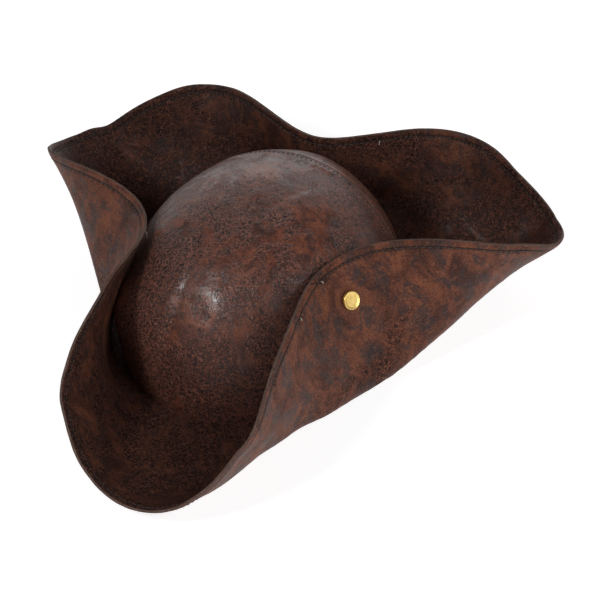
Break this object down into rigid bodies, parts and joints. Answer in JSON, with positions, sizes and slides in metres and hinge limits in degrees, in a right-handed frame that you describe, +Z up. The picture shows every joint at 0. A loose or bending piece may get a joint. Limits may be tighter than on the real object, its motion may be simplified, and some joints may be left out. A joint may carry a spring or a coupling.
{
  "type": "tricorne hat",
  "caption": "Pirate tricorne of distressed brown imitation leather: rounded crown, wide topstitched brim turned up on all sides and held to the crown by brass rivets.",
  "frame": {"origin": "on the surface the hat stands on, under the middle of its outline", "axes": "+Z up through the crown; -Y to the front corner; +X to the hat's own left, the viewer's right seen from the front; the hat mirrors about X = 0 but for the left rivet's place"},
  "size_m": [0.3474, 0.3287, 0.1011],
  "materials": {
    "leather": "distressed, satin with glossy creases",
    "stiffener": "matt felt",
    "lining": "dull woven lining",
    "sweatband": "ribbed ribbon",
    "thread": "waxed thread",
    "brass": "satin, lightly domed"
  },
  "bodies": {
    "root": {"crown_front": "leather", "crown_back": "leather", "brim_upper": "leather", "brim_under": "leather", "crown_stiffener": "stiffener", "brim_stiffener": "stiffener", "crown_lining": "lining", "sweatband": "sweatband", "sweatband_tape": "sweatband", "brim_thread_upper": "thread", "brim_thread_under": "thread", "crown_seam_thread": "thread", "rivet_cap_right": "brass", "rivet_back_right": "brass", "rivet_cap_left": "brass", "rivet_back_left": "brass", "rivet_cap_back": "brass", "rivet_back_back": "brass"}
  },
  "joints": []
}
